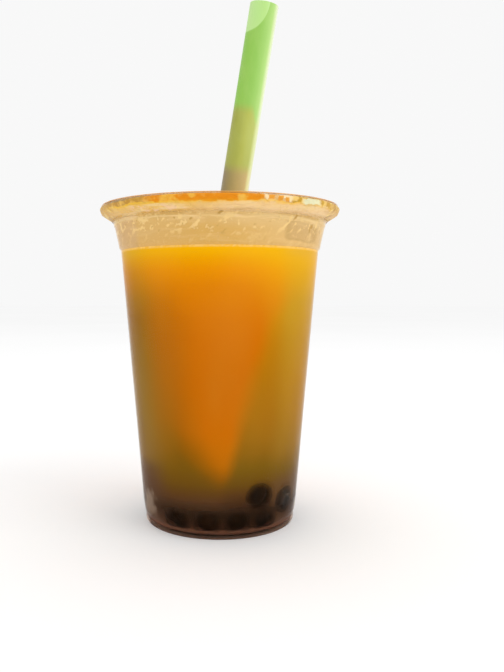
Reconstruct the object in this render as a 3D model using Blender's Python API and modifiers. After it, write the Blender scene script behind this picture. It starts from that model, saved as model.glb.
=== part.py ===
# A takeaway cup of fruit bubble tea: a clear tapered plastic cup, its heat-sealed film, the
# drink up to the cup's stacking shoulder, and a fat straw pushed through the film.
# Metres, +Z up. The origin is the centre of the foot, on the surface that the cup stands on.
import math

import bpy
from mathutils import Vector

# Cup: outer sizes, from the rim down
CUP_HEIGHT = 0.1250
RIM_RADIUS = 0.0475
RIM_EDGE_RADIUS = 0.0009
LIP_INNER_RADIUS = 0.0424
NECK_TOP_RADIUS = 0.0428
NECK_TOP_Z = 0.1200
BEAD_RADIUS = 0.0423
BEAD_Z = 0.1180
NECK_FOOT_RADIUS = 0.0403
SHOULDER_Z = 0.1090
SHOULDER_STEP = 0.0008
SHOULDER_DROP = 0.0006
TAPER_FOOT_RADIUS = 0.0316
TAPER_FOOT_Z = 0.0140
HEEL_RADIUS = 0.0307
HEEL_Z = 0.0050
FOOT_RADIUS = 0.0302
FOOT_TOP_Z = 0.0038
FOOT_ROUND = 0.0014
FOOT_FLAT_WIDTH = 0.0011
FOOT_RECESS_RUN = 0.0006

# Cup: walls
WALL = 0.0007
FLOOR_UNDERSIDE_Z = 0.0009
FLOOR_Z = 0.0016
FLOOR_FILLET = 0.0036

# Drink
DRINK_LEVEL = 0.1083
MENISCUS_RISE = 0.0004
MENISCUS_WIDTH = 0.0018
GAP = 0.0003

# Straw, as a line through the film's hole that leans to the right and to the front
STRAW_RADIUS = 0.0055
STRAW_WALL = 0.0005
STRAW_HOLE_X = 0.0047
STRAW_SIDE_LEAN = math.radians(9.2)
STRAW_FRONT_LEAN = math.radians(7.5)
STRAW_FOOT_Z = 0.0044
STRAW_TIP_Z = 0.2017

# Sealing film
FILM_RADIUS = 0.0470
FILM_THICKNESS = 0.0003
FILM_FLAT_RADIUS = 0.0425
FILM_SAG = 0.0006
FILM_DENT = 0.0016
FILM_HOLE_SLACK = 0.0006
FILM_RINGS = 7

# Facets
CUP_STEPS = 64
STRAW_STEPS = 28
ROUND_STEPS = 5

CLEAR_PLASTIC = ("clear_plastic", (0.86, 0.88, 0.84, 0.30), 0.10)
FILM_PLASTIC = ("film_plastic", (0.90, 0.91, 0.88, 0.30), 0.15)
ORANGE_DRINK = ("orange_drink", (0.78, 0.22, 0.005, 1.0), 0.25)
GREEN_PLASTIC = ("green_plastic", (0.33, 0.62, 0.12, 1.0), 0.30)


def clear_scene():
    for thing in list(bpy.data.objects):
        bpy.data.objects.remove(thing, do_unlink=True)


def make_collection(name):
    collection = bpy.data.collections.new(name)
    bpy.context.scene.collection.children.link(collection)
    return collection


def make_material(name, colour, roughness):
    material = bpy.data.materials.new(name)
    material.use_nodes = True
    shader = material.node_tree.nodes["Principled BSDF"]
    shader.inputs["Base Color"].default_value = colour
    shader.inputs["Alpha"].default_value = colour[3]
    shader.inputs["Roughness"].default_value = roughness
    shader.inputs["Metallic"].default_value = 0.0
    return material


# Points (radius, height) along an arc, its angles in degrees from +X towards +Z.
def arc(centre_r, centre_z, radius, start, end, steps=ROUND_STEPS):
    points = []
    for i in range(steps + 1):
        angle = math.radians(start + (end - start) * i / steps)
        points.append((centre_r + radius * math.cos(angle), centre_z + radius * math.sin(angle)))
    return points


# A solid turned about Z. The profile runs down its outer side, from the axis to the axis or closed.
def turned(name, profile, steps, collection, material, closed=False):
    mesh = bpy.data.meshes.new(name)
    edges = [(i, i + 1) for i in range(len(profile) - 1)]
    if closed:
        edges.append((len(profile) - 1, 0))
    mesh.from_pydata([(r, 0.0, z) for r, z in profile], edges, [])
    mesh.materials.append(material)
    solid = bpy.data.objects.new(name, mesh)
    collection.objects.link(solid)
    screw = solid.modifiers.new("Turn", "SCREW")
    screw.axis = "Z"
    screw.angle = 2 * math.pi
    screw.steps = steps
    screw.render_steps = steps
    screw.use_merge_vertices = True
    screw.merge_threshold = 0.00001
    screw.use_smooth_shade = True
    return solid


# The tapered wall between the shoulder and the heel, as its outer radius at a height.
def taper_radius(z):
    top_radius = NECK_FOOT_RADIUS - SHOULDER_STEP
    top_z = SHOULDER_Z - SHOULDER_DROP
    share = (z - TAPER_FOOT_Z) / (top_z - TAPER_FOOT_Z)
    return TAPER_FOOT_RADIUS + (top_radius - TAPER_FOOT_RADIUS) * share


# Neck, shoulder, taper and heel, from the flange down. The inner wall repeats these heights.
def wall_stations():
    neck_slope = (NECK_TOP_RADIUS - NECK_FOOT_RADIUS) / (NECK_TOP_Z - SHOULDER_Z)
    under_bead = BEAD_Z - 0.0007
    shoulder_foot = SHOULDER_Z - SHOULDER_DROP
    middle = (shoulder_foot + TAPER_FOOT_Z) / 2
    return [
        (NECK_TOP_RADIUS, NECK_TOP_Z),
        (BEAD_RADIUS - 0.0001, BEAD_Z + 0.0006),
        (BEAD_RADIUS, BEAD_Z),
        (NECK_FOOT_RADIUS + neck_slope * (under_bead - SHOULDER_Z) - 0.0003, under_bead),
        (NECK_FOOT_RADIUS + 0.0001, SHOULDER_Z + 0.0014),
        (NECK_FOOT_RADIUS, SHOULDER_Z + 0.0004),
        (NECK_FOOT_RADIUS - 0.0003, SHOULDER_Z),
        (NECK_FOOT_RADIUS - SHOULDER_STEP, shoulder_foot),
        (taper_radius(middle), middle),
        (TAPER_FOOT_RADIUS, TAPER_FOOT_Z),
    ]


def heel_points():
    middle = ((TAPER_FOOT_RADIUS + HEEL_RADIUS) / 2 + 0.0001, (TAPER_FOOT_Z + HEEL_Z) / 2)
    return [middle, (HEEL_RADIUS, HEEL_Z), (FOOT_RADIUS, FOOT_TOP_Z)]


def foot_points():
    round_centre = FOOT_RADIUS - FOOT_ROUND
    flat_inner = round_centre - FOOT_FLAT_WIDTH
    return arc(round_centre, FOOT_ROUND, FOOT_ROUND, 0, -90, 4) + [
        (flat_inner, 0.0),
        (flat_inner - FOOT_RECESS_RUN, FLOOR_UNDERSIDE_Z),
    ]


# Flange: flat top, a rolled edge, and an underside that slopes in to the neck.
def flange_points():
    edge_r = RIM_RADIUS - RIM_EDGE_RADIUS
    edge_z = CUP_HEIGHT - RIM_EDGE_RADIUS
    return (
        [(LIP_INNER_RADIUS, CUP_HEIGHT)]
        + arc(edge_r, edge_z, RIM_EDGE_RADIUS, 90, -20)
        + [
            (RIM_RADIUS - 0.0005, CUP_HEIGHT - 0.0024),
            (RIM_RADIUS - 0.0023, CUP_HEIGHT - 0.0036),
        ]
    )


# Inner side of the cup, from the axis up to just under the lip, moved inwards by a clearance.
def inner_side(clearance=0.0):
    floor_z = FLOOR_Z + clearance
    fillet_top = FLOOR_Z + FLOOR_FILLET
    heel_share = (fillet_top - HEEL_Z) / (TAPER_FOOT_Z - HEEL_Z)
    side_radius = HEEL_RADIUS + (TAPER_FOOT_RADIUS - HEEL_RADIUS) * heel_share - WALL - clearance
    fillet = FLOOR_FILLET - clearance
    points = [(0.0, floor_z)]
    points += arc(side_radius - fillet, fillet_top, fillet, -90, 0)
    points += [(r - WALL - clearance, z) for r, z in reversed(wall_stations())]
    return points


def make_cup(collection, material):
    profile = inner_side()
    profile += [(LIP_INNER_RADIUS - 0.0003, CUP_HEIGHT - 0.0006)]
    profile += flange_points()
    profile += wall_stations()
    profile += heel_points()
    profile += foot_points()
    profile += [(0.0, FLOOR_UNDERSIDE_Z)]
    return turned("cup", profile, CUP_STEPS, collection, material)


def straw_direction():
    return Vector((math.tan(STRAW_SIDE_LEAN), -math.tan(STRAW_FRONT_LEAN), 1.0)).normalized()


# The point of the straw's axis at a height.
def straw_point(z):
    direction = straw_direction()
    start = Vector((STRAW_HOLE_X, 0.0, CUP_HEIGHT))
    return start + direction * ((z - CUP_HEIGHT) / direction.z)


def lay_along_straw(solid, z):
    solid.location = straw_point(z)
    solid.rotation_euler = straw_direction().to_track_quat("Z", "Y").to_euler()


def straw_length(low_z, high_z):
    return (high_z - low_z) / straw_direction().z


def make_straw(collection, material):
    length = straw_length(STRAW_FOOT_Z, STRAW_TIP_Z)
    bore = STRAW_RADIUS - STRAW_WALL
    profile = [(STRAW_RADIUS, length), (STRAW_RADIUS, 0.0), (bore, 0.0), (bore, length)]
    straw = turned("straw", profile, STRAW_STEPS, collection, material, closed=True)
    lay_along_straw(straw, STRAW_FOOT_Z)
    return straw


def rod(name, radius, low_z, high_z, collection, material):
    length = straw_length(low_z, high_z)
    profile = [(0.0, length), (radius, length), (radius, 0.0), (0.0, 0.0)]
    solid = turned(name, profile, STRAW_STEPS, collection, material)
    lay_along_straw(solid, low_z)
    return solid


def make_drink(collection, cutters, material):
    wall = [point for point in inner_side(GAP) if point[1] < DRINK_LEVEL - 0.0005]
    edge_radius = taper_radius(DRINK_LEVEL) - WALL - GAP
    surface = [
        (0.0, DRINK_LEVEL),
        (edge_radius - MENISCUS_WIDTH, DRINK_LEVEL),
        (edge_radius - MENISCUS_WIDTH / 3, DRINK_LEVEL + MENISCUS_RISE / 3),
        (edge_radius, DRINK_LEVEL + MENISCUS_RISE),
    ]
    drink = turned("drink", surface + list(reversed(wall)), CUP_STEPS, collection, material)
    cutter = rod("straw_hole_cutter", STRAW_RADIUS + GAP, -0.02, DRINK_LEVEL + 0.02, cutters, material)
    cutter.hide_render = True
    cutter.display_type = "WIRE"
    cut = drink.modifiers.new("Straw hole", "BOOLEAN")
    cut.operation = "DIFFERENCE"
    cut.object = cutter
    return drink


# The part of the drink that stands in the straw, level with the rest.
def make_drink_in_straw(collection, material):
    radius = STRAW_RADIUS - STRAW_WALL - GAP
    return rod("drink_in_straw", radius, STRAW_FOOT_Z, DRINK_LEVEL, collection, material)


# The film is a loft from the torn hole round the straw out to its round edge.
def make_film(collection, material):
    direction = straw_direction()
    film_z = CUP_HEIGHT + GAP
    hole_centre = straw_point(film_z - FILM_SAG - FILM_DENT)
    hole_radius = STRAW_RADIUS / direction.z + FILM_HOLE_SLACK
    verts = []
    for ring in range(FILM_RINGS + 1):
        share = (ring / FILM_RINGS) ** 1.6
        for step in range(CUP_STEPS):
            angle = 2 * math.pi * step / CUP_STEPS
            unit = Vector((math.cos(angle), math.sin(angle), 0.0))
            inner = Vector((hole_centre.x, hole_centre.y, 0.0)) + unit * hole_radius
            point = inner.lerp(unit * FILM_RADIUS, share)
            flatness = min(point.length / FILM_FLAT_RADIUS, 1.0)
            point.z = film_z - FILM_SAG * (1 - flatness**2) - FILM_DENT * (1 - share) ** 4
            verts.append(point)
    faces = []
    for ring in range(FILM_RINGS):
        for step in range(CUP_STEPS):
            after = (step + 1) % CUP_STEPS
            inner_row = ring * CUP_STEPS
            outer_row = inner_row + CUP_STEPS
            faces.append((inner_row + step, outer_row + step, outer_row + after, inner_row + after))
    mesh = bpy.data.meshes.new("seal_film")
    mesh.from_pydata(verts, [], faces)
    mesh.shade_smooth()
    mesh.materials.append(material)
    film = bpy.data.objects.new("seal_film", mesh)
    collection.objects.link(film)
    skin = film.modifiers.new("Thickness", "SOLIDIFY")
    skin.thickness = FILM_THICKNESS
    skin.offset = 1.0
    return film


clear_scene()
parts = make_collection("bubble_tea")
cutters = make_collection("cutters")
clear_plastic = make_material(*CLEAR_PLASTIC)
film_plastic = make_material(*FILM_PLASTIC)
orange_drink = make_material(*ORANGE_DRINK)
green_plastic = make_material(*GREEN_PLASTIC)
make_cup(parts, clear_plastic)
make_film(parts, film_plastic)
make_drink(parts, cutters, orange_drink)
make_drink_in_straw(parts, orange_drink)
make_straw(parts, green_plastic)
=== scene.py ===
import math

import bmesh
import bpy
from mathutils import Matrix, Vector, noise


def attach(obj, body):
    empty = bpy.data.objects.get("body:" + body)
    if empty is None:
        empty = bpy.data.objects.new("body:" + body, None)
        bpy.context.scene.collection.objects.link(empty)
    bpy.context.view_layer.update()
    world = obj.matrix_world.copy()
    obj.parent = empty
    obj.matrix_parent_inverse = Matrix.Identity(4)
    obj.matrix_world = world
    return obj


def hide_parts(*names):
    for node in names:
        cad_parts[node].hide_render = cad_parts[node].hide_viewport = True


# The looks of the bubble tea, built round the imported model. Lengths are millimetres unless a
# note says otherwise, and a mesh is scaled to metres as it is made.
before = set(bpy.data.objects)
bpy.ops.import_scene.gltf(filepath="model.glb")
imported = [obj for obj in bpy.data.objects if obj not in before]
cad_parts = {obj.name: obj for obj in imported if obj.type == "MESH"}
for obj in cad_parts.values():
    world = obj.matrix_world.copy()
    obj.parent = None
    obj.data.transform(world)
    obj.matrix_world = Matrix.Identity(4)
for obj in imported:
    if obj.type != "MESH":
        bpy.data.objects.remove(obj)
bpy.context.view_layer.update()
body = "root"
mm = 0.001
print("frame loaded:", ", ".join(sorted(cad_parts)))


# colours and node helpers

def colourFrom(red, green=None, blue=None):  # a screen colour, 0 to 255, or one linear grey
    if green is None:
        return (red, red, red, 1.0)
    shares = [value / 255 for value in (red, green, blue)]
    return (*[share / 12.92 if share <= 0.04045 else ((share + 0.055) / 1.055) ** 2.4
              for share in shares], 1.0)


def treeOf(values):  # the node tree of the sockets among the values
    return next(value.id_data for value in values if isinstance(value, bpy.types.NodeSocket))


def feed(value, socket):  # a link from a socket, or a plain value
    if isinstance(value, bpy.types.NodeSocket):
        socket.id_data.links.new(value, socket)
    else:
        socket.default_value = value


def addNode(tree, kind, settings=(), **inputs):
    node = tree.nodes.new(kind)
    for name, value in settings:
        setattr(node, name, value)
    for name, value in inputs.items():
        feed(value, node.inputs[name.replace("_", " ")])
    return node


def calc(operation, *values, clamp=False):
    settings = [("operation", operation), ("use_clamp", clamp)]
    node = addNode(treeOf(values), "ShaderNodeMath", settings)
    for value, socket in zip(values, node.inputs):
        feed(value, socket)
    return node.outputs[0]


def vectorCalc(operation, vector, other):
    node = addNode(treeOf([vector]), "ShaderNodeVectorMath", [("operation", operation)])
    feed(vector, node.inputs[0])
    feed(other, node.inputs["Scale" if operation == "SCALE" else 1])
    return node.outputs["Value" if operation == "DOT_PRODUCT" else "Vector"]


def fade(value, low, high, start=0.0, end=1.0):  # smooth step from start to end
    node = addNode(treeOf([value]), "ShaderNodeMapRange", [("interpolation_type", "SMOOTHSTEP")],
                   Value=value, From_Min=low, From_Max=high, To_Min=start, To_Max=end)
    return node.outputs["Result"]


def times(product, *factors):
    for factor in factors:
        product = calc("MULTIPLY", product, factor)
    return product


def band(value, low, high, soft):  # 1 between low and high, fading over soft on both sides
    rise = fade(value, low - soft / 2, low + soft / 2)
    return times(rise, fade(value, high + soft / 2, high - soft / 2))


def mix(under, over, *shares):  # over covers under by the product of the shares
    node = addNode(treeOf(shares), "ShaderNodeMix", [("data_type", "RGBA")])
    feed(times(*shares), node.inputs[0])
    for value, socket in ((under, node.inputs[6]), (over, node.inputs[7])):
        feed(colourFrom(*value) if isinstance(value, tuple) else value, socket)
    return node.outputs[2]


def ramp(value, stops):  # each stop is a value with a screen colour, or with one grey
    low, high = stops[0][0], stops[-1][0]
    node = addNode(treeOf([value]), "ShaderNodeValToRGB")
    feed(calc("DIVIDE", calc("SUBTRACT", value, low), high - low, clamp=True), node.inputs[0])
    elements = node.color_ramp.elements
    while len(elements) < len(stops):
        elements.new(0.5)
    for element, (place, *colour) in zip(elements, stops):
        element.position = (place - low) / (high - low)
        element.color = colourFrom(*colour)
    return node.outputs[0]


def bump(height, distance):  # distance in millimetres
    return addNode(treeOf([height]), "ShaderNodeBump", Strength=1.0, Distance=distance * mm,
                   Height=height).outputs[0]


def newMaterial(name):  # with the place of the point that is shaded
    material = bpy.data.materials.new(name)
    material.use_nodes = True
    return material, addNode(material.node_tree, "ShaderNodeTexCoord").outputs["Object"]


def finished(material, **settings):  # links or plain values go to the shader's own sockets
    shader = material.node_tree.nodes["Principled BSDF"]
    for name, value in settings.items():
        feed(value, shader.inputs[name.replace("_", " ")])
    return material


def letLampsThrough(material):  # lamp light crosses clear plastic instead of stopping at it
    tree = material.node_tree
    rays = addNode(tree, "ShaderNodeLightPath").outputs
    mixed = addNode(tree, "ShaderNodeMixShader")
    feed(calc("MAXIMUM", rays["Is Shadow Ray"], rays["Is Diffuse Ray"]), mixed.inputs[0])
    feed(tree.nodes["Principled BSDF"].outputs[0], mixed.inputs[1])
    feed(addNode(tree, "ShaderNodeBsdfTransparent").outputs[0], mixed.inputs[2])
    feed(mixed.outputs[0], tree.nodes["Material Output"].inputs["Surface"])


def newTree(name, treeKind, inputs, outputs):  # a node group, with the sockets inside it
    tree = bpy.data.node_groups.new(name, treeKind)
    for side, sockets in (("INPUT", inputs), ("OUTPUT", outputs)):
        for socketName, kind, *value in sockets:
            socket = tree.interface.new_socket(socketName, in_out=side, socket_type="NodeSocket" + kind)
            if value:
                socket.default_value = value[0]
    return tree, addNode(tree, "NodeGroupInput").outputs, addNode(tree, "NodeGroupOutput").inputs


def useGroup(group, **inputs):
    settings = [("node_tree", group)]
    return addNode(treeOf(inputs.values()), "ShaderNodeGroup", settings, **inputs).outputs


# shader groups that several materials share

taperFoot = {"radius": 31.6, "height": 14.0, "slope": 0.0837}  # the wall's outer side


def makePlaceGroup():  # where a point lies on the cup, against the wall's inner side
    tree, given, out = newTree(
        "placeOnCup", "ShaderNodeTree", [("Position", "Vector")],
        [(name, "Float") for name in ("Height", "Radius", "Across", "Behind")],
    )
    parts = addNode(tree, "ShaderNodeSeparateXYZ", Vector=given["Position"]).outputs
    x, y, height = [times(part, 1 / mm) for part in parts]
    wallStart = taperFoot["radius"] - taperFoot["slope"] * taperFoot["height"] - 0.7
    wall = calc("MULTIPLY_ADD", height, taperFoot["slope"], wallStart)
    feed(height, out["Height"])
    feed(calc("SQRT", calc("ADD", times(x, x), times(y, y))), out["Radius"])
    feed(calc("DIVIDE", x, wall), out["Across"])
    feed(calc("DIVIDE", y, wall), out["Behind"])
    return tree


def makeMottleGroup():  # soft patches: a mask from 0 to 1, stretched along Z by Stretch
    tree, given, out = newTree(
        "mottle", "ShaderNodeTree",
        [("Position", "Vector"), ("Scale", "Float", 100.0), ("Detail", "Float", 3.0),
         ("Stretch", "Float", 1.0), ("Low", "Float", 0.35), ("High", "Float", 0.65)],
        [("Mask", "Float")],
    )
    x, y, z = addNode(tree, "ShaderNodeSeparateXYZ", Vector=given["Position"]).outputs
    joined = addNode(tree, "ShaderNodeCombineXYZ", X=x, Y=y, Z=calc("DIVIDE", z, given["Stretch"]))
    grain = addNode(tree, "ShaderNodeTexNoise", Vector=joined.outputs[0], Scale=given["Scale"],
                    Detail=given["Detail"])
    feed(fade(grain.outputs["Fac"], given["Low"], given["High"]), out["Mask"])
    return tree


placeGroup = makePlaceGroup()
mottleGroup = makeMottleGroup()


def onCup(position):
    return useGroup(placeGroup, Position=position)


def mottle(position, scale, low, high, detail=3.0, stretch=1.0):
    masks = useGroup(mottleGroup, Position=position, Scale=scale, Low=low, High=high, Detail=detail,
                     Stretch=stretch)
    return masks["Mask"]


def makeStreakGroup():  # two masks of thin level streaks that waver as they run round
    tree, given, out = newTree(
        "levelStreaks", "ShaderNodeTree",
        [("Position", "Vector"), ("Scale", "Float", 60.0), ("Squash", "Float", 0.12)],
        [("Bright", "Float"), ("Dull", "Float")],
    )
    for name, shift, low, high in (("Bright", 0.0, 0.53, 0.63), ("Dull", 0.7, 0.55, 0.68)):
        moved = vectorCalc("ADD", given["Position"], (shift, 0.0, 0.0))
        feed(mottle(moved, given["Scale"], low, high, 4.0, given["Squash"]), out[name])
    return tree


streakGroup = makeStreakGroup()


# mesh helpers

def arc(centreRadius, centreHeight, radius, start, end, steps=8):
    points = []
    for i in range(steps + 1):
        angle = math.radians(start + (end - start) * i / steps)
        points.append((centreRadius + radius * math.cos(angle), centreHeight + radius * math.sin(angle)))
    return points


def softened(profile, reach):  # each inner corner becomes two points, so that it turns softly
    points = [profile[0]]
    for before, corner, after in zip(profile, profile[1:], profile[2:]):
        for other in (before, after):
            length = math.hypot(other[0] - corner[0], other[1] - corner[1])
            share = min(reach / max(length, 1e-6), 0.3)
            points.append((corner[0] + (other[0] - corner[0]) * share,
                           corner[1] + (other[1] - corner[1]) * share))
    return points + [profile[-1]]


def around(radius, angle, height=0.0):  # a point at an angle about Z
    return Vector((radius * math.cos(angle), radius * math.sin(angle), height))


def newObject(name, data):
    made = bpy.data.objects.new(name, data)
    bpy.context.scene.collection.objects.link(made)
    return made


def pieceFrom(shape, name, material, sharpAngle=50):
    mesh = bpy.data.meshes.new(name)
    shape.to_mesh(mesh)
    shape.free()
    mesh.shade_smooth()
    mesh.set_sharp_from_angle(angle=math.radians(sharpAngle))
    mesh.materials.append(material)
    return newObject(name, mesh)


def turned(profile, steps, closedLoop=False):  # a profile of (radius, height) turned about Z
    shape = bmesh.new()
    points = [shape.verts.new((radius * mm, 0.0, height * mm)) for radius, height in profile]
    pairs = list(zip(points, points[1:]))
    if closedLoop:
        pairs.append((points[-1], points[0]))
    edges = [shape.edges.new(pair) for pair in pairs]
    bmesh.ops.spin(shape, geom=points + edges, axis=(0, 0, 1), cent=(0, 0, 0), angle=2 * math.pi,
                   steps=steps, use_merge=True)
    bmesh.ops.remove_doubles(shape, verts=shape.verts, dist=1e-6)
    bmesh.ops.recalc_face_normals(shape, faces=shape.faces)
    return shape


# geometry node helpers

def newGeometryTree(name, inputs):
    geometry = ("Geometry", "Geometry")
    return newTree(name, "GeometryNodeTree", [geometry, *inputs], [geometry])


def randomVector(tree, low, high, seed):
    node = addNode(tree, "FunctionNodeRandomValue", [("data_type", "FLOAT_VECTOR")], Seed=seed)
    node.inputs[0].default_value = low
    node.inputs[1].default_value = high
    return node.outputs[0]


def ballsOn(tree, points, radius, subdivisions, **placing):  # a copy of one ball on each point
    ball = addNode(tree, "GeometryNodeMeshIcoSphere", Radius=radius, Subdivisions=subdivisions)
    return addNode(tree, "GeometryNodeInstanceOnPoints", Points=points,
                   Instance=ball.outputs["Mesh"], **placing).outputs[0]


def finishTree(tree, geometry, out, material):  # the copies become real mesh, with their material
    real = addNode(tree, "GeometryNodeRealizeInstances", Geometry=geometry)
    smooth = addNode(tree, "GeometryNodeSetShadeSmooth", Geometry=real.outputs[0])
    painted = addNode(tree, "GeometryNodeSetMaterial", Geometry=smooth.outputs[0], Material=material)
    feed(painted.outputs[0], out[0])
    return tree


def bakedPiece(name, shape, tree, values, material):  # runs the tree on a shape and keeps the mesh
    guideMesh = bpy.data.meshes.new(name + "Guide")
    shape.to_mesh(guideMesh)
    shape.free()
    guide = newObject(name + "Guide", guideMesh)
    modifier = guide.modifiers.new("Nodes", "NODES")
    modifier.node_group = tree
    for item in tree.interface.items_tree:
        if item.in_out == "INPUT" and item.name in values:
            modifier[item.identifier] = values[item.name]
    graph = bpy.context.evaluated_depsgraph_get()
    mesh = bpy.data.meshes.new_from_object(guide.evaluated_get(graph))
    mesh.name = name
    bpy.data.objects.remove(guide)
    mesh.materials.clear()
    mesh.materials.append(material)
    return newObject(name, mesh)


# cup

cupSizes = {
    "height": 125.0, "rimRadius": 47.5, "rimEdge": 0.9, "lipRadius": 42.4,
    "neckTop": (42.8, 120.0), "bead": (42.3, 118.0), "neckFoot": 40.3,
    "overBead": (0.1, 0.6), "underBead": (0.3, 0.7),  # inward, and up or down
    "shoulder": 109.0,
    "turns": [(0.1, 1.4), (0.0, 0.4), (-0.3, 0.0), (-0.8, -0.6)],  # out and up from the neck's foot
    "heel": (30.7, 5.0), "heelBulge": 0.1,
    "footRadius": 30.2, "footTop": 3.8, "footRound": 1.4, "footFlat": 1.1, "footSlope": 0.6,
    "wall": 0.7, "underside": 0.9, "floor": 1.6, "fillet": 3.6, "corner": 0.25,
    "underRim": [(0.5, 2.4), (2.3, 3.6)],  # in from the rim and down from its top
    "underFaces": (0.6, 0.8),  # the way that the underside of the rim faces, out and down
    "lipStep": (0.3, 0.6),
    "join": 0.5,  # a wall's profile stops this far from the height where the next part starts
    "steps": 192,
}


def wallRadius(height):  # outer side of the tapered wall
    return taperFoot["radius"] + taperFoot["slope"] * (height - taperFoot["height"])


def insideWall(height, inset):
    return wallRadius(height) - cupSizes["wall"] - inset


def wallStations():
    sizes = cupSizes
    footRadius, shoulder = sizes["neckFoot"], sizes["shoulder"]
    (topRadius, topHeight), (beadRadius, beadHeight) = sizes["neckTop"], sizes["bead"]
    (beadIn, beadUp), (hollowIn, hollowDown) = sizes["overBead"], sizes["underBead"]
    slope = (topRadius - footRadius) / (topHeight - shoulder)
    hollow = beadHeight - hollowDown
    return [
        (topRadius, topHeight), (beadRadius - beadIn, beadHeight + beadUp), (beadRadius, beadHeight),
        (footRadius + slope * (hollow - shoulder) - hollowIn, hollow),
        *[(footRadius + out, shoulder + up) for out, up in sizes["turns"]],
        (taperFoot["radius"], taperFoot["height"]),
    ]


def innerSide(inset=0.0):  # from the axis up the inside of the cup
    sizes = cupSizes
    filletTop = sizes["floor"] + sizes["fillet"]
    heelRadius, heelHeight = sizes["heel"]
    share = (filletTop - heelHeight) / (taperFoot["height"] - heelHeight)
    side = heelRadius + (taperFoot["radius"] - heelRadius) * share - sizes["wall"] - inset
    fillet = sizes["fillet"] - inset
    points = [(0.0, sizes["floor"] + inset)]
    points += arc(side - fillet, filletTop, fillet, -90, 0)
    points += [(radius - sizes["wall"] - inset, height) for radius, height in reversed(wallStations())]
    return points


def innerWall(inset, low, high):  # the same between two heights
    return [point for point in innerSide(inset) if low < point[1] < high]


def outAndDown(points, gap):
    out, down = cupSizes["underFaces"]
    return [(radius + gap * out, height - gap * down) for radius, height in points]


def rimOutline(lastAngle, firstAngle, gap=0.0):  # over the welded edge and in under it
    radius, height, edge = [cupSizes[name] for name in ("rimRadius", "height", "rimEdge")]
    under = [(radius - inward, height - down) for inward, down in cupSizes["underRim"]]
    return arc(radius - edge, height - edge, edge + gap, firstAngle, lastAngle) + outAndDown(under, gap)


def cupOutline():
    sizes = cupSizes
    heelRadius, heelHeight = sizes["heel"]
    footCentre = sizes["footRadius"] - sizes["footRound"]
    flatInner = footCentre - sizes["footFlat"]
    lipIn, lipDown = sizes["lipStep"]
    outline = innerSide()
    outline += [(sizes["lipRadius"] - lipIn, sizes["height"] - lipDown),
                (sizes["lipRadius"], sizes["height"])]
    outline += rimOutline(-20, 90) + wallStations()
    outline += [((taperFoot["radius"] + heelRadius) / 2 + sizes["heelBulge"],
                 (taperFoot["height"] + heelHeight) / 2),
                (heelRadius, heelHeight), (sizes["footRadius"], sizes["footTop"])]
    outline += arc(footCentre, sizes["footRound"], sizes["footRound"], 0, -90)
    outline += [(flatInner, 0.0), (flatInner - sizes["footSlope"], sizes["underside"]),
                (0.0, sizes["underside"])]
    return outline


def clearPlasticMaterial():
    material, position = newMaterial("clearCupPlastic")
    place = onCup(position)
    tint = ramp(place["Height"], [
        (0.5, 158, 120, 96), (1.1, 206, 174, 152), (4, 212, 182, 160), (7, 228, 206, 186),
        (10, 240, 230, 218), (22, 238, 222, 196), (60, 246, 232, 206), (107.6, 250, 236, 200),
        (109.4, 247, 232, 206), (119, 248, 232, 204), (122, 246, 218, 168), (125.5, 244, 200, 120),
    ])
    waves = mottle(position, 70.0, 0.2, 0.8, stretch=6.0)
    letLampsThrough(material)
    return finished(material, Normal=bump(waves, 0.12), Base_Color=tint, Roughness=0.04, IOR=1.1,
                    Transmission_Weight=1.0)


def makeCup():
    shape = turned(softened(cupOutline(), cupSizes["corner"]), cupSizes["steps"])
    return pieceFrom(shape, "cupShell", clearPlasticMaterial())


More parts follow.
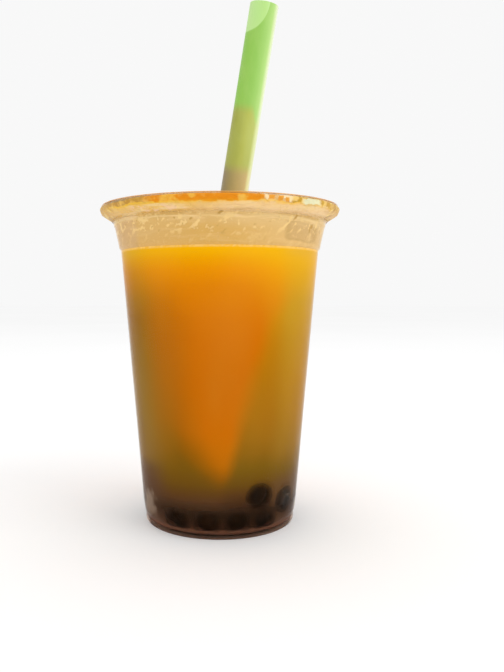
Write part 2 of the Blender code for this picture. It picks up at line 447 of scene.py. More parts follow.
def rimMaterial():
    material, position = newMaterial("rimGlow")
    place = onCup(position)
    height, across = place["Height"], place["Across"]
    # The warm colours of this band are painted glow and reflection of the lit drink in the clear plastic.
    sway = mottle(position, 260.0, 0.25, 0.75, stretch=3.0)
    level = calc("ADD", height, calc("MULTIPLY_ADD", sway, 0.9, -0.45))
    # the skirt under the edge, duller on the left and paler on the right, painted light falling from the
    # right
    skirt = ramp(level, [
        (119.2, 240, 194, 106), (120.6, 240, 194, 110), (121.8, 242, 196, 104), (122.5, 250, 198, 62),
    ])
    paleSkirt = ramp(level, [
        (119.2, 250, 214, 156), (120.6, 252, 216, 160), (122.0, 252, 212, 148), (122.7, 252, 200, 88),
    ])
    colour = mix(skirt, paleSkirt, fade(across, -0.45, 0.25))
    streaks = useGroup(streakGroup, Position=position, Scale=55.0, Squash=0.10)
    colour = mix(colour, (254, 222, 160), streaks["Bright"], 0.75)
    colour = mix(colour, (210, 168, 92), streaks["Dull"], 0.45)
    # pinkish painted highlights on the left of the skirt
    highlightBlots = mottle(position, 240.0, 0.50, 0.58, stretch=0.4)
    colour = mix(colour, (255, 214, 168), highlightBlots, band(across, -0.8, -0.3, 0.1),
                 band(level, 120.2, 122.0, 0.6), 0.8)
    # the edge: painted glow of the lit drink in the plastic, deep orange in the middle, duller greyer
    # gold on the left, pale knobs on the right
    middle = band(across, -0.5, 0.2, 0.2)
    onEdge = fade(calc("MULTIPLY_ADD", middle, 0.35, level), 122.7, 123.05)
    edge = ramp(height, [
        (122.4, 244, 164, 24), (123.2, 240, 146, 8), (124.6, 236, 142, 10), (125.1, 243, 172, 56),
    ])
    edge = mix(edge, (250, 192, 70), mottle(position, 260.0, 0.52, 0.64, stretch=1.2), 0.8)
    folds = mottle(position, 330.0, 0.44, 0.58, detail=4.0, stretch=0.8)
    gold = mix((200, 148, 56), (240, 188, 84), folds)
    edge = mix(edge, gold, fade(across, -0.55, -0.72))
    edge = mix(edge, (150, 126, 92), fade(across, -0.78, -0.86), fade(height, 123.9, 124.5), 0.7)
    wave = calc("SINE", calc("MULTIPLY_ADD", across, 73.0, times(sway, 4.0)))
    knobs = mix((232, 184, 112), (253, 226, 176), folds)
    knobs = mix(knobs, (240, 162, 52), fade(wave, -0.4, 0.3), band(level, 122.9, 124.5, 0.5))
    edge = mix(edge, knobs, fade(across, 0.34, 0.40))
    olive = mix((206, 156, 36), (246, 204, 112), folds)
    edge = mix(edge, olive, fade(across, 0.61, 0.65))
    colour = mix(colour, edge, onEdge)
    # a pale painted highlight on the edge towards the right end
    shine = band(across, 0.73, 0.90, 0.05)
    colour = mix(colour, (240, 240, 198), shine, band(level, 122.7, 124.4, 0.4), 0.9)
    # both ends are thick, folded plastic, with painted shade in its creases; painted glints lie all
    # along, most at the ends
    ends = fade(calc("ABSOLUTE", across), 0.93, 1.08)
    colour = mix(colour, (220, 172, 78), ends, 0.75)
    creaseShade = mottle(position, 260.0, 0.54, 0.66, detail=4.0)
    colour = mix(colour, (158, 112, 44), creaseShade, ends, 0.7)
    glints = mottle(position, 330.0, 0.57, 0.63)
    colour = mix(colour, (253, 220, 120), glints, calc("MULTIPLY_ADD", ends, 0.8, 0.15))
    alpha = fade(height, 119.0, 120.8, 0.0, 0.92)
    return finished(material, Normal=bump(folds, 0.2), Base_Color=colour, Alpha=alpha,
                    Roughness=0.35, Specular_IOR_Level=0.15)


rimSizes = {
    "gaps": (0.10, 0.03),  # outer and inner side, out from the cup's own rim
    "skirt": [(43.3, 120.25), (42.85, 119.7), (42.7, 118.9)], "steps": 360,
    "swell": 0.16, "swellScale": (0.35, 0.35, 0.525), "swellAbove": 121.0,
}


def makeRim():  # the welded edge and the skirt under it, seen as one warm band
    sizes = rimSizes
    loops = [rimOutline(-20, 85, gap) + outAndDown(sizes["skirt"], gap) for gap in sizes["gaps"]]
    shape = turned(loops[0] + list(reversed(loops[1])), sizes["steps"], closedLoop=True)
    for vertex in shape.verts:  # the weld swells a little here and there
        place = vertex.co / mm
        if place.z > sizes["swellAbove"]:
            swell = noise.noise(place * Vector(sizes["swellScale"])) * sizes["swell"]
            vertex.co += Vector((place.x, place.y, 0.0)).normalized() * max(swell, 0.0) * mm
    return pieceFrom(shape, "rimBand", rimMaterial())


cup = makeCup()
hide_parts("cup")
rim = makeRim()
for piece in (cup, rim):
    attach(piece, body)
print("cup made")


# mist and drops inside the neck

mistSizes = {
    "low": 108.3, "high": 124.4, "fromLip": 0.45, "thickness": 0.6, "inset": -0.5, "dropGap": 0.02,
    "dropDensity": 210000.0,  # for each square metre, where they lie thickest
    "dropLow": (0.12, 0.20, 0.10), "dropHigh": (0.34, 0.85, 0.26), "dropTurn": 1.2, "dropSteps": 96,
    "seed": 4,
}


def neckPath(inset):  # inner side of the neck, from the shoulder up
    sizes = mistSizes
    path = innerWall(inset, sizes["low"] - cupSizes["join"], cupSizes["height"])
    path = [(radius, max(height, sizes["low"])) for radius, height in path]
    return path + [(cupSizes["lipRadius"] - sizes["fromLip"] - inset, sizes["high"])]


def mistMaterial():
    material, position = newMaterial("neckMist")
    place = onCup(position)
    height, across = place["Height"], place["Across"]
    sway = mottle(position, 75.0, 0.2, 0.8, stretch=9.0)
    level = calc("ADD", height, calc("MULTIPLY_ADD", sway, 1.6, -0.8))  # wavy height
    colour = ramp(level, [
        (109, 232, 191, 120), (113, 228, 190, 122), (117.2, 230, 194, 126), (118.8, 238, 202, 134),
        (120.5, 248, 216, 152), (123, 248, 218, 150),
    ])
    # lighter and warmer on the right: painted light from the right
    warm = fade(across, -0.3, 0.6)
    colour = mix(colour, (246, 220, 168), warm, fade(level, 112, 121, 0.25, 0.8))
    glow = fade(calc("ABSOLUTE", across), 0.65, 0.1)
    colour = mix(colour, (226, 180, 84), glow, 0.45, fade(level, 117.5, 113.5))
    # grey panes near both sides, the right one with a darker outline
    pane = times(band(across, 0.62, 0.91, 0.09), band(level, 110.6, 116.8, 1.6))
    colour = mix(colour, (206, 172, 120), pane, 0.5)
    colour = mix(colour, (190, 156, 94), pane, calc("SUBTRACT", 1.0, pane), 1.6)
    leftPane = fade(across, -0.74, -0.80)
    colour = mix(colour, (222, 186, 136), leftPane, fade(level, 118.4, 117.2), 0.85)
    # a dull band with a bright line under it where the neck narrows
    patches = mottle(position, 110.0, 0.36, 0.56, detail=2.0, stretch=5.0)
    colour = mix(colour, (218, 176, 92), band(level, 118.7, 119.7, 0.6), patches, 0.5)
    colour = mix(colour, (252, 224, 166), band(level, 117.9, 118.4, 0.45),
                 calc("MULTIPLY_ADD", patches, 0.5, 0.5))
    streaks = useGroup(streakGroup, Position=position, Scale=55.0, Squash=0.10)
    high = fade(height, 116.5, 118.5, 0.15, 0.8)
    colour = mix(colour, (254, 226, 176), streaks["Bright"], high)
    colour = mix(colour, (214, 174, 96), streaks["Dull"], high)
    # slanting strokes and curls of wet plastic, bright and dull, thickest under the line
    wet = fade(level, 110.5, 116.0, 0.2, 0.9)
    slanted = addNode(material.node_tree, "ShaderNodeVectorRotate", [("rotation_type", "Y_AXIS")],
                      Vector=position, Angle=math.radians(-52))
    strokes = mottle(slanted.outputs[0], 400.0, 0.565, 0.62, detail=3.5, stretch=3.6)
    colour = mix(colour, (253, 224, 160), strokes, wet)
    curls = mottle(position, 620.0, 0.59, 0.64, detail=4.0)
    colour = mix(colour, (252, 222, 158), curls, wet)
    hollows = mottle(slanted.outputs[0], 480.0, 0.62, 0.70, stretch=2.0)
    colour = mix(colour, (202, 162, 84), hollows, wet)
    return finished(material, Normal=bump(curls, 0.08), Base_Color=colour, Roughness=0.4,
                    Specular_IOR_Level=0.25, Alpha=0.93)


def dropMaterial():
    material, position = newMaterial("neckDrops")
    light = mottle(position, 700.0, 0.42, 0.55)
    return finished(material, Base_Color=mix((226, 182, 104), (255, 230, 176), light), Roughness=0.1,
                    Alpha=0.9, Coat_Weight=0.5, Coat_Roughness=0.04)


def dropTree(material):
    inputs = [("Density", "Float", 1000.0), ("Seed", "Int", 0)]
    tree, given, out = newGeometryTree("neckDropsTree", inputs)
    place = addNode(tree, "GeometryNodeInputPosition").outputs[0]
    height = times(addNode(tree, "ShaderNodeSeparateXYZ", Vector=place).outputs[2], 1 / mm)
    thick = calc("ADD", band(height, 112.4, 117.0, 2.4), 0.15)
    spread = addNode(tree, "GeometryNodeDistributePointsOnFaces", Mesh=given["Geometry"],
                     Density=times(given["Density"], thick), Seed=given["Seed"])
    scale = randomVector(tree, mistSizes["dropLow"], mistSizes["dropHigh"], given["Seed"])
    sway = Vector((0.0, 0.0, mistSizes["dropTurn"]))
    turn = randomVector(tree, -sway, sway, given["Seed"])
    spun = addNode(tree, "FunctionNodeRotateRotation", [("rotation_space", "LOCAL")],
                   Rotation=spread.outputs["Rotation"])
    feed(turn, spun.inputs[1])
    copies = ballsOn(tree, spread.outputs["Points"], mm, 2, Rotation=spun.outputs[0], Scale=scale)
    return finishTree(tree, copies, out, material)


def makeMist():
    sizes = mistSizes
    outer = neckPath(sizes["inset"])
    inner = neckPath(sizes["inset"] + sizes["thickness"])
    shape = turned(outer + list(reversed(inner)), cupSizes["steps"], closedLoop=True)
    mist = pieceFrom(shape, "neckMist", mistMaterial())
    material = dropMaterial()
    guide = turned(neckPath(sizes["inset"] + sizes["thickness"] + sizes["dropGap"]), sizes["dropSteps"])
    values = {"Density": sizes["dropDensity"], "Seed": sizes["seed"]}
    return mist, bakedPiece("neckDrops", guide, dropTree(material), values, material)


for piece in makeMist():
    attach(piece, body)
print("mist and drops made")


# drink

drinkSizes = {
    "level": 108.3, "reach": 0.4,  # how far it goes into the wall, so that no air shows
    "meniscus": 0.5, "meniscusWidth": 1.8, "meniscusSteps": 5,
    "foot": 2.3, "dentTop": 23.0, "dentRows": 30, "steps": 240,
    "pullBack": 3.9, "pullFade": (11.0, 14.5),  # drawn back from the wall all round up to here
    "dentGap": (1.7, 3.3),  # higher up it is drawn back only this near a pearl
    "nearest": 6.0,  # how far from a pearl the tea is still shaded by it
}


def drinkColours(position):
    place = onCup(position)
    height, across = place["Height"], place["Across"]
    # The ramps paint light and shade into the tea: brighter towards the top and on the right, darker at
    # the sides.
    core = ramp(height, [
        (5, 56, 36, 22), (8, 42, 27, 15), (10, 46, 30, 17), (12.5, 66, 43, 27), (15, 92, 59, 36),
        (18, 112, 74, 24), (23.5, 162, 98, 4), (28, 192, 111, 0), (34, 200, 114, 0), (40, 204, 113, 0),
        (60, 202, 111, 0), (75, 208, 115, 0), (82, 212, 119, 0), (94, 224, 134, 0), (100, 236, 152, 0),
        (104, 241, 169, 0), (106.8, 246, 184, 6),
    ])
    farLeft = ramp(height, [
        (4, 108, 82, 66), (7, 86, 60, 44), (10, 72, 49, 32), (14, 88, 61, 40), (20, 98, 70, 48),
        (25, 108, 80, 46), (29, 134, 103, 46), (46, 141, 108, 36), (67, 140, 104, 26), (82, 148, 102, 14),
        (89, 164, 114, 12), (94, 185, 124, 2), (99.5, 203, 138, 0), (103.7, 217, 158, 0),
        (106.5, 222, 174, 20),
    ])
    midLeft = ramp(height, [
        (5, 72, 48, 34), (8, 50, 33, 20), (10, 54, 36, 23), (12.5, 74, 51, 33), (15, 92, 62, 36),
        (17.5, 98, 68, 28), (21, 112, 80, 22), (27, 124, 90, 16), (33, 134, 92, 10), (38, 142, 94, 6),
        (46, 156, 96, 2), (60, 166, 98, 0), (75, 175, 100, 0), (89, 189, 113, 0), (99.5, 222, 142, 0),
        (104, 231, 163, 0), (106.5, 236, 180, 8),
    ])
    midRight = ramp(height, [
        (5, 60, 40, 26), (8, 44, 29, 17), (10, 48, 31, 18), (12.5, 64, 42, 27), (17, 90, 60, 30),
        (21, 108, 78, 24), (27, 122, 92, 18), (38, 152, 104, 12), (46, 163, 109, 6), (60, 174, 117, 4),
        (75, 190, 126, 0), (82, 202, 136, 0), (89, 219, 149, 0), (94, 229, 159, 0), (99.5, 236, 169, 0),
        (106.5, 240, 185, 14),
    ])
    farRight = ramp(height, [
        (4, 98, 74, 58), (7, 72, 50, 34), (10, 60, 41, 27), (14, 92, 67, 44), (20, 106, 78, 44),
        (25, 120, 92, 30), (33, 148, 110, 32), (46, 166, 120, 26), (60, 177, 128, 22), (75, 184, 138, 24),
        (89, 198, 153, 28), (94, 211, 162, 24), (99.5, 223, 170, 12), (104, 231, 178, 22),
        (106.5, 230, 180, 48),
    ])
    leftSide = mix(farLeft, midLeft, fade(across, -0.86, -0.56))
    rightSide = mix(midRight, farRight, fade(across, 0.50, 0.74))
    side = mix(leftSide, rightSide, fade(across, -0.1, 0.2))
    # the bright core, painted light that comes down through the middle while the sides lie in painted
    # shade, narrows towards the bottom, softly on the left and sharply on the right
    leftReach = ramp(height, [
        (18, 0.0), (25, 0.17), (32, 0.31), (41, 0.45), (60, 0.50), (82, 0.50), (94, 0.62), (101, 0.74),
        (107, 0.80),
    ])
    rightReach = ramp(height, [
        (18, 0.0), (25, 0.11), (32, 0.17), (41, 0.23), (60, 0.35), (82, 0.50), (89, 0.54), (96, 0.50),
        (107, 0.40),
    ])
    # that right side is sharp below and blurs out near the top
    blur = fade(height, 78.0, 98.0, 0.11, 0.40)
    wobble = mottle(position, 45.0, 0.1, 0.9, detail=2.0, stretch=1.5)
    wobble = times(calc("SUBTRACT", wobble, 0.5), 0.10)
    moved = calc("ADD", across, wobble)
    leftShare = fade(calc("ADD", leftReach, moved), -0.17, 0.34)
    rightShare = fade(calc("SUBTRACT", rightReach, moved), times(blur, -1.0), blur)
    behind = fade(place["Behind"], -0.2, 0.65, 0.0, 0.75)
    colour = mix(side, core, calc("MAXIMUM", times(leftShare, rightShare), behind))
    cloud = mottle(position, 60.0, 0.35, 0.7, detail=4.0, stretch=3.0)
    colour = mix(colour, (255, 200, 90), cloud, fade(height, 18.0, 40.0, 0.0, 0.06))
    # a pale reflection low on the left
    torn = mottle(position, 260.0, 0.3, 0.6)
    ragged = calc("MULTIPLY_ADD", torn, 0.05, across)
    raised = calc("MULTIPLY_ADD", torn, 1.8, height)
    colour = mix(colour, (148, 128, 110), band(ragged, -0.91, -0.785, 0.06),
                 band(raised, 7.0, 15.6, 4.0), fade(place["Behind"], 0.0, -0.1, 0.0, 0.85))
    # a bright, speckled line of fine bubbles runs round the top
    specks = mottle(position, 900.0, 0.38, 0.58)
    return mix(colour, (253, 210, 124), fade(height, 107.3, 108.0), fade(place["Radius"], 36.0, 38.4),
               calc("MULTIPLY_ADD", specks, 0.6, 0.4))


def shadedByPearls(position):  # tea that darkens next to a pearl, and the gap to it in mm
    height = onCup(position)["Height"]
    colour = drinkColours(position)
    near = addNode(treeOf([position]), "ShaderNodeAttribute", [("attribute_name", "pearlNear")])
    gap = calc("SUBTRACT", drinkSizes["nearest"], near.outputs["Fac"])
    colour = mix(colour, (39, 24, 12), fade(gap, 0.6, 3.4, 0.92, 0.0))
    foot = fade(height, 4.4, 3.2)  # thinner, paler tea in the rounded foot
    return mix(colour, (130, 94, 76), foot, 0.8), gap, foot


def drinkMaterial():
    material, position = newMaterial("orangeTea")
    ripples = mottle(position, 180.0, 0.2, 0.8)
    return finished(material, Normal=bump(ripples, 0.05), Base_Color=shadedByPearls(position)[0],
                    Roughness=0.5, Specular_IOR_Level=0.0)


def hazeMaterial():  # thin in front of a pearl, thick away from them
    material, position = newMaterial("teaHaze")
    colour, gap, foot = shadedByPearls(position)
    drift = mottle(position, 110.0, 0.2, 0.8)
    alpha = fade(calc("ADD", gap, times(drift, 0.5)), 0.8, 3.2, 0.05, 0.92)
    alpha = calc("MAXIMUM", alpha, times(foot, 0.8))
    return finished(material, Base_Color=colour, Alpha=alpha, Roughness=0.5, Specular_IOR_Level=0.0)


def pearlGap(place, balls):  # from a point to the nearest pearl's skin
    return max(min((place - centre).length - radius for centre, radius in balls), 0.0)


def markPearls(shape, balls):  # how near a pearl each point lies, 0 for far away
    layer = shape.verts.layers.float.new("pearlNear")
    for vertex in shape.verts:
        if vertex.co.z < (drinkSizes["dentTop"] + 2) * mm:
            vertex[layer] = max(drinkSizes["nearest"] - pearlGap(vertex.co / mm, balls), 0.0)


def smoothStep(value, low, high):
    share = min(max((value - low) / (high - low), 0.0), 1.0)
    return share * share * (3 - 2 * share)


def makeDrink(balls):
    sizes = drinkSizes
    wall = innerWall(-sizes["reach"], sizes["dentTop"], sizes["level"] - cupSizes["join"])
    edge = insideWall(sizes["level"], -sizes["reach"])
    surface = []
    for i in range(sizes["meniscusSteps"] + 1):
        share = i / sizes["meniscusSteps"]
        surface.append((edge - sizes["meniscusWidth"] * share,
                        sizes["level"] + sizes["meniscus"] * (1 - share) ** 2))
    surface.append((0.0, sizes["level"]))
    lowWall = []
    for i in range(sizes["dentRows"] + 1):
        height = sizes["foot"] + (sizes["dentTop"] - sizes["foot"]) * i / sizes["dentRows"]
        lowWall.append((insideWall(height, -sizes["reach"]), height))
    shape = turned([(0.0, sizes["foot"])] + lowWall + wall + surface, sizes["steps"])
    # low down the body draws back from the wall behind the haze, to leave room for the pearls
    for vertex in shape.verts:
        place = vertex.co / mm
        outward = Vector((place.x, place.y, 0.0))
        if place.z < sizes["dentTop"] - 0.1 and outward.length > 1.0:
            allRound = 1 - smoothStep(place.z, *sizes["pullFade"])
            dent = 1 - smoothStep(pearlGap(place, balls), *sizes["dentGap"])
            vertex.co -= outward.normalized() * sizes["pullBack"] * max(allRound, dent) * mm
    markPearls(shape, balls)
    return pieceFrom(shape, "teaBody", drinkMaterial(), sharpAngle=80)


hazeSizes = {"reach": 0.3, "cell": 1.0, "lidRise": 0.5, "lidStep": 4.0, "steps": 200}


def makeHaze(balls):  # a thin skin inside the wall that veils the pearls
    sizes = hazeSizes
    top = drinkSizes["dentTop"]
    wall = innerWall(-sizes["reach"], 0.0, top - cupSizes["join"])
    wall.append((insideWall(top, -sizes["reach"]), top))
    outline = [wall[0]]
    for before, after in zip(wall, wall[1:]):
        pieces = max(1, round(math.dist(before, after) / sizes["cell"]))
        for i in range(1, pieces + 1):
            outline.append(tuple(a + (b - a) * i / pieces for a, b in zip(before, after)))
    lid = top + sizes["lidRise"]
    outline += [(outline[-1][0] - sizes["lidStep"], lid), (0.0, lid)]
    shape = turned(outline, sizes["steps"])
    markPearls(shape, balls)
    return pieceFrom(shape, "teaHaze", hazeMaterial())


# tapioca pearls

pearlSizes = {
    "radius": 5.0, "innerSize": 0.96, "lump": 0.9, "lumpScale": 140.0, "seed": 11,
    "shape": ((0.95, 0.95, 0.92), (1.04, 1.04, 1.0)), "turn": (0.4, 0.4, 3.1),
    # at the wall: turn in degrees from +X, height of the centre, size against the radius
    "byWall": [(-121.5, 6.7, 1.02), (-98.5, 6.8, 1.04), (-77.5, 6.8, 1.04), (-61.5, 16.4, 1.0),
               (-56, 6.6, 0.94), (-37, 13.0, 0.92), (-10, 6.5, 0.95), (176, 6.6, 1.0)],
    "wallGap": 0.15, "footGap": 0.5, "footBelow": 9.0,  # further in where the foot rounds
    "rings": [(24.4, 15), (13.6, 8), (3.8, 2)],  # radius of a ring on the floor and its pearls
    "ringHeight": 6.6, "ringShift": 0.37,
    "upper": (22.5, 5, 16.0, 40, 140),  # behind: radius, pearls, height, first turn and sweep
    "clear": 9.9,  # nearest that two centres may be
}


def pearlBalls():  # the centre and radius of each pearl
    sizes = pearlSizes
    balls = []
    for turn, height, size in sizes["byWall"]:
        radius = sizes["radius"] * size
        distance = insideWall(height, radius) - sizes["wallGap"]
        if height < sizes["footBelow"]:
            distance -= sizes["footGap"]
        balls.append((around(distance, math.radians(turn), height), radius))
    others = []
    for ring, (distance, count) in enumerate(sizes["rings"]):
        for i in range(count):
            angle = 2 * math.pi * (i + sizes["ringShift"] * ring) / count
            others.append((distance, angle, sizes["ringHeight"]))
    distance, count, height, first, sweep = sizes["upper"]
    others += [(distance, math.radians(first + sweep * i / (count - 1)), height) for i in range(count)]
    for distance, angle, height in others:
        point = around(distance, angle, height)
        if all((point - centre).length > sizes["clear"] for centre, radius in balls):
            balls.append((point, sizes["radius"] * sizes["innerSize"]))
    return balls


def pearlMaterial():
    material, position = newMaterial("tapiocaPearl")
    patches = mottle(position, 150.0, 0.4, 0.7)
    skin = mottle(position, 260.0, 0.2, 0.8)
    return finished(material, Normal=bump(skin, 0.04), Base_Color=mix((30, 18, 8), (46, 28, 14), patches),
                    Roughness=0.5, Specular_IOR_Level=0.02)


def pearlTree(material):
    inputs = [("Pearl Radius", "Float", 5.0), ("Lump", "Float", 0.4), ("Seed", "Int", 0)]
    tree, given, out = newGeometryTree("pearlsTree", inputs)
    size = addNode(tree, "GeometryNodeInputNamedAttribute", [("data_type", "FLOAT")], Name="size")
    shape = randomVector(tree, *pearlSizes["shape"], given["Seed"])
    scale = vectorCalc("SCALE", shape, size.outputs["Attribute"])
    most = Vector(pearlSizes["turn"])
    turn = randomVector(tree, -most, most, given["Seed"])
    turnAsRotation = addNode(tree, "FunctionNodeEulerToRotation", Euler=turn)
    copies = ballsOn(tree, given["Geometry"], given["Pearl Radius"], 4,
                     Rotation=turnAsRotation.outputs[0], Scale=scale)
    real = addNode(tree, "GeometryNodeRealizeInstances", Geometry=copies)
    grain = addNode(tree, "ShaderNodeTexNoise", Scale=pearlSizes["lumpScale"], Detail=1.0)
    depth = times(calc("SUBTRACT", grain.outputs["Fac"], 0.5), given["Lump"])
    offset = vectorCalc("SCALE", addNode(tree, "GeometryNodeInputNormal").outputs[0], depth)
    lumpy = addNode(tree, "GeometryNodeSetPosition", Geometry=real.outputs[0], Offset=offset)
    return finishTree(tree, lumpy.outputs[0], out, material)


def makePearls(balls):
    sizes = pearlSizes
    shape = bmesh.new()
    layer = shape.verts.layers.float.new("size")
    for centre, radius in balls:
        point = shape.verts.new(centre * mm)
        point[layer] = radius / sizes["radius"]
    material = pearlMaterial()
    values = {"Pearl Radius": sizes["radius"] * mm, "Lump": sizes["lump"] * mm, "Seed": sizes["seed"]}
    return bakedPiece("pearls", shape, pearlTree(material), values, material)


balls = pearlBalls()
tea = makeDrink(balls)
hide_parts("drink")
haze = makeHaze(balls)
for piece in (tea, haze):
    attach(piece, body)
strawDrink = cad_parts["drink_in_straw"]
strawDrink.data.materials.clear()
strawDrink.data.materials.append(tea.data.materials[0])
print("drink made")

pearls = makePearls(balls)
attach(pearls, body)
print("pearls made")


# bubbles where the drink meets the cup

bubbleSizes = {
    "count": 420, "low": 0.12, "high": 0.42, "height": 108.75, "inset": 0.5, "seed": 7,
    "stray": (0.2, 0.2, 0.4),
}


def bubbleMaterial():
    material, position = newMaterial("foamLine")
    light = mottle(position, 220.0, 0.35, 0.65)
    return finished(material, Base_Color=mix((238, 170, 40), (253, 212, 120), light), Roughness=0.2,
                    Alpha=0.85)


def bubbleTree(material):
    inputs = [("Smallest", "Float", 0.2), ("Largest", "Float", 0.7), ("Seed", "Int", 0)]
    tree, given, out = newGeometryTree("bubblesTree", inputs)
    stray = Vector(bubbleSizes["stray"]) * mm
    moved = addNode(tree, "GeometryNodeSetPosition", Geometry=given["Geometry"],
                    Offset=randomVector(tree, -stray, stray, given["Seed"]))
    size = addNode(tree, "FunctionNodeRandomValue", [("data_type", "FLOAT")])
    for name, place in (("Smallest", 2), ("Largest", 3), ("Seed", "Seed")):
        feed(given[name], size.inputs[place])
    copies = ballsOn(tree, moved.outputs[0], mm, 2, Scale=size.outputs[1])
    return finishTree(tree, copies, out, material)


def makeBubbles():
    sizes = bubbleSizes
    shape = bmesh.new()
    radius = insideWall(sizes["height"], sizes["inset"])
    for i in range(sizes["count"]):
        angle = 2 * math.pi * i / sizes["count"]
        shape.verts.new(around(radius, angle, sizes["height"]) * mm)
    material = bubbleMaterial()
    values = {"Smallest": sizes["low"], "Largest": sizes["high"], "Seed": sizes["seed"]}
    return bakedPiece("foamLine", shape, bubbleTree(material), values, material)


bubbles = makeBubbles()
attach(bubbles, body)
print("bubbles made")


# straw

strawSizes = {
    "radius": 5.5, "wall": 0.5, "holeX": 4.7, "sideLean": 9.2, "frontLean": 7.5,
    "foot": 4.4, "tip": 201.7, "lip": 0.12, "steps": 72,
}


def strawDirection():
    side = math.tan(math.radians(strawSizes["sideLean"]))
    front = math.tan(math.radians(strawSizes["frontLean"]))
    return Vector((side, -front, 1.0)).normalized()


def strawPoint(height):  # the straw's axis at a height
    direction = strawDirection()
    start = Vector((strawSizes["holeX"], 0.0, cupSizes["height"]))
    return start + direction * ((height - cupSizes["height"]) / direction.z)


def strawMaterial():
    material, position = newMaterial("greenStraw")
    direction = strawDirection()
    sideways = Vector((direction.z, 0.0, -direction.x)).normalized()
    fromTip = vectorCalc("SUBTRACT", position, strawPoint(strawSizes["tip"]) * mm)
    across = times(vectorCalc("DOT_PRODUCT", fromTip, sideways), 1 / (strawSizes["radius"] * mm))
    fromTip = times(vectorCalc("DOT_PRODUCT", fromTip, direction), -1 / mm)  # in millimetres
    # each ramp turns pale towards the right edge: a painted highlight of light from the right
    upper = ramp(across, [
        (-0.95, 138, 195, 66), (0.0, 149, 201, 90), (0.45, 160, 208, 102), (0.72, 180, 222, 126),
        (0.84, 214, 236, 168), (0.96, 236, 247, 208),
    ])
    middle = ramp(across, [
        (-0.95, 160, 165, 68), (-0.3, 172, 178, 78), (0.1, 184, 190, 86), (0.65, 189, 198, 104),
        (0.84, 222, 232, 162), (0.98, 236, 246, 194),
    ])
    lower = ramp(across, [
        (-0.95, 146, 131, 99), (-0.4, 170, 152, 96), (0.1, 192, 169, 108), (0.66, 212, 188, 128),
        (0.84, 242, 240, 176), (0.98, 246, 246, 204),
    ])
    shift = fade(across, 0.3, 0.8, 0.0, -5.0)  # the green runs lower on the right
    colour = mix(upper, middle, fade(calc("ADD", fromTip, shift), 36.5, 41.5))
    colour = mix(colour, lower, fade(fromTip, 59.5, 65.0))
    # daylight inside the open end, down to a curved edge
    turn = calc("DIVIDE", calc("ADD", across, 1.0), 1.38)
    turn = calc("SUBTRACT", 1.0, times(turn, turn), clamp=True)
    lit = fade(calc("SUBTRACT", times(calc("SQRT", turn), 11.2), fromTip), -0.3, 0.5)
    litColour = ramp(across, [
        (-0.95, 190, 230, 146), (0.2, 184, 228, 134), (0.98, 218, 240, 186),
    ])
    colour = mix(colour, litColour, lit)
    speckle = mottle(position, 240.0, 0.3, 0.8, stretch=3.0)
    colour = mix(colour, (214, 226, 150), speckle, 0.12)
    return finished(material, Normal=bump(speckle, 0.03), Base_Color=colour, Roughness=0.38,
                    Specular_IOR_Level=0.25)


def makeStraw():
    sizes = strawSizes
    direction = strawDirection()
    length = (sizes["tip"] - sizes["foot"]) / direction.z
    radius, lip = sizes["radius"], sizes["lip"]
    bore = radius - sizes["wall"]
    profile = [(radius, length - lip), (radius, lip), (radius - lip, 0.0), (bore + lip, 0.0), (bore, lip),
               (bore, length - lip), (bore + lip, length), (radius - lip, length)]
    shape = turned(profile, sizes["steps"], closedLoop=True)
    spin = direction.to_track_quat("Z", "Y").to_matrix().to_4x4()
    bmesh.ops.transform(shape, matrix=spin, verts=shape.verts)
    bmesh.ops.translate(shape, vec=strawPoint(sizes["foot"]) * mm, verts=shape.verts)
    return pieceFrom(shape, "strawTube", strawMaterial())


straw = makeStraw()
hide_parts("straw")
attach(straw, body)
print("straw made")


# sealing film

filmSizes = {
    "radius": 47.0, "thickness": 0.3, "flatRadius": 42.5, "sag": 0.6, "dent": 1.6, "slack": 0.6,
    "gap": 0.3, "rings": 22, "crowding": 1.6, "steps": 144,
    "flapLength": (0.4, 5.0), "flapPoint": 1.3, "flapInset": 0.25, "flapRows": 5, "flaps": 7,
    "pucker": 0.16, "waves": [(11, 1.0, 0.0), (17, 0.6, 1.3)],  # count, size and shift of each
    "fadeOut": 5.0, "fadeIn": 30.0,  # how fast the puckers fade outward, and rise at the hole
}


def filmMaterial():
    material, position = newMaterial("sealFilm")
    place = onCup(position)
    fog = mottle(position, 90.0, 0.42, 0.78, detail=4.0)
    dew = mottle(position, 900.0, 0.60, 0.66, detail=2.0)
    weld = fade(place["Radius"], 42.2, 43.0)
    # the orange at the outer edge is a painted reflection of the lit drink
    edge = fade(place["Radius"], 45.2, 46.6)
    colour = mix(mix((254, 248, 232), (254, 238, 198), weld), (240, 172, 70), edge)
    veil = calc("ADD", times(fog, 0.12), times(dew, 0.22))
    alpha = calc("ADD", calc("ADD", veil, 0.12), times(weld, 0.22))
    return finished(material, Normal=bump(calc("ADD", fog, dew), 0.08), Base_Color=colour,
                    Alpha=calc("ADD", alpha, times(edge, 0.4), clamp=True), Roughness=0.12,
                    Coat_Weight=0.6, Coat_Roughness=0.06)


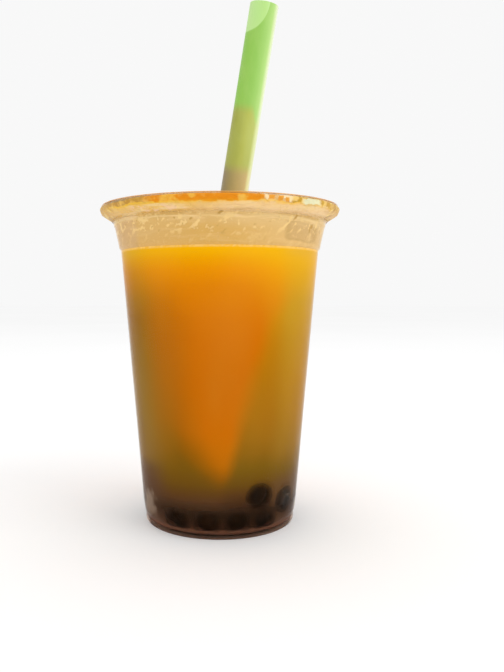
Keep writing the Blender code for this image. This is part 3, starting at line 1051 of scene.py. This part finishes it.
def makeFilm():
    sizes = filmSizes
    direction = strawDirection()
    filmHeight = cupSizes["height"] + sizes["gap"]
    holeHeight = filmHeight - sizes["sag"] - sizes["dent"]
    hole = strawPoint(holeHeight)
    holeRadius = strawSizes["radius"] / direction.z + sizes["slack"]
    shape = bmesh.new()
    rows = []
    shortest, added = sizes["flapLength"]
    for row in range(sizes["flapRows"], 0, -1):  # torn flaps hang down round the straw
        ring = []
        share = row / sizes["flapRows"]
        for step in range(sizes["steps"]):
            angle = 2 * math.pi * step / sizes["steps"]
            saw = abs(((step * sizes["flaps"] / sizes["steps"]) % 1.0) - 0.5) * 2
            drop = (shortest + added * (1 - saw) ** sizes["flapPoint"]) * share
            radius = holeRadius - sizes["flapInset"] * min(share * 2, 1.0)
            point = strawPoint(holeHeight - drop) + around(radius, angle)
            ring.append(shape.verts.new(point * mm))
        rows.append(ring)
    for row in range(sizes["rings"] + 1):
        ring = []
        share = (row / sizes["rings"]) ** sizes["crowding"]
        for step in range(sizes["steps"]):
            angle = 2 * math.pi * step / sizes["steps"]
            unit = around(1.0, angle)
            inner = Vector((hole.x, hole.y, 0.0)) + unit * holeRadius
            point = inner.lerp(unit * sizes["radius"], share)
            flatness = min(point.length / sizes["flatRadius"], 1.0)
            pull = math.exp(-share * sizes["fadeOut"]) * (1 - math.exp(-share * sizes["fadeIn"]))
            waves = sum(size * math.sin(count * angle + shift) for count, size, shift in sizes["waves"])
            sag = sizes["sag"] * (1 - flatness ** 2) + sizes["dent"] * (1 - share) ** 4
            point.z = filmHeight - sag + sizes["pucker"] * pull * waves
            ring.append(shape.verts.new(point * mm))
        rows.append(ring)
    for low, high in zip(rows, rows[1:]):
        for step in range(sizes["steps"]):
            after = (step + 1) % sizes["steps"]
            shape.faces.new((low[step], high[step], high[after], low[after]))
    film = pieceFrom(shape, "filmSkin", filmMaterial(), sharpAngle=70)
    skin = film.modifiers.new("Thickness", "SOLIDIFY")
    skin.thickness = sizes["thickness"] * mm
    skin.offset = 1.0
    return film


film = makeFilm()
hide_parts("seal_film")
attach(film, body)
print("film made")


# stage, lights and camera

stageSizes = {"radius": 8000.0, "steps": 64, "sky": 0.94}
lampSizes = {  # watts, size, place and aim in millimetres
    "key": (2.2, 700.0, (750.0, -450.0, 850.0), (0.0, 0.0, 90.0)),
    "top": (1.2, 900.0, (-150.0, 300.0, 1300.0), (0.0, 0.0, 100.0)),
}
cameraSizes = {
    "focalPixels": 682.0, "frameHeight": 672.0, "sensor": 36.0,
    "distance": 277.75, "height": 89.71, "pitchDown": 3.19, "axisLeftOfCentre": 32.3,
}


def makeStage():
    shape = bmesh.new()
    bmesh.ops.create_circle(shape, cap_ends=True, segments=stageSizes["steps"],
                            radius=stageSizes["radius"] * mm)
    material, position = newMaterial("paleStage")
    faint = mottle(position, 2.0, 0.3, 0.7)
    finished(material, Base_Color=mix((0.985,), (1.0,), faint), Roughness=0.9, Specular_IOR_Level=0.0)
    return pieceFrom(shape, "paleFloor", material)


def makeLamp(name, watts, size, place, aim):
    data = bpy.data.lights.new(name, "AREA")
    data.energy = watts
    data.size = size * mm
    lamp = newObject(name, data)
    lamp.location = Vector(place) * mm
    lamp.rotation_euler = (Vector(aim) - Vector(place)).to_track_quat("-Z", "Y").to_euler()


def makeWorld():
    world = bpy.data.worlds.new("paleStudio")
    world.use_nodes = True
    back = world.node_tree.nodes["Background"]
    back.inputs["Color"].default_value = (1.0, 1.0, 1.0, 1.0)
    back.inputs["Strength"].default_value = stageSizes["sky"]
    bpy.context.scene.world = world


def makeCamera():
    sizes = cameraSizes
    data = bpy.data.cameras.new("photoCamera")
    data.sensor_width = sizes["sensor"]
    data.lens = sizes["focalPixels"] / sizes["frameHeight"] * sizes["sensor"]
    data.shift_x = sizes["axisLeftOfCentre"] / sizes["frameHeight"]
    data.clip_start = 0.01
    camera = newObject("photoCamera", data)
    camera.location = (0.0, -sizes["distance"] * mm, sizes["height"] * mm)
    camera.rotation_euler = (math.radians(90 - sizes["pitchDown"]), 0.0, 0.0)
    bpy.context.scene.camera = camera


makeStage()
for name, (watts, size, place, aim) in lampSizes.items():
    makeLamp(name, watts, size, place, aim)
makeWorld()
makeCamera()
bpy.context.scene.view_settings.view_transform = "Standard"
print("stage, lights and camera set")
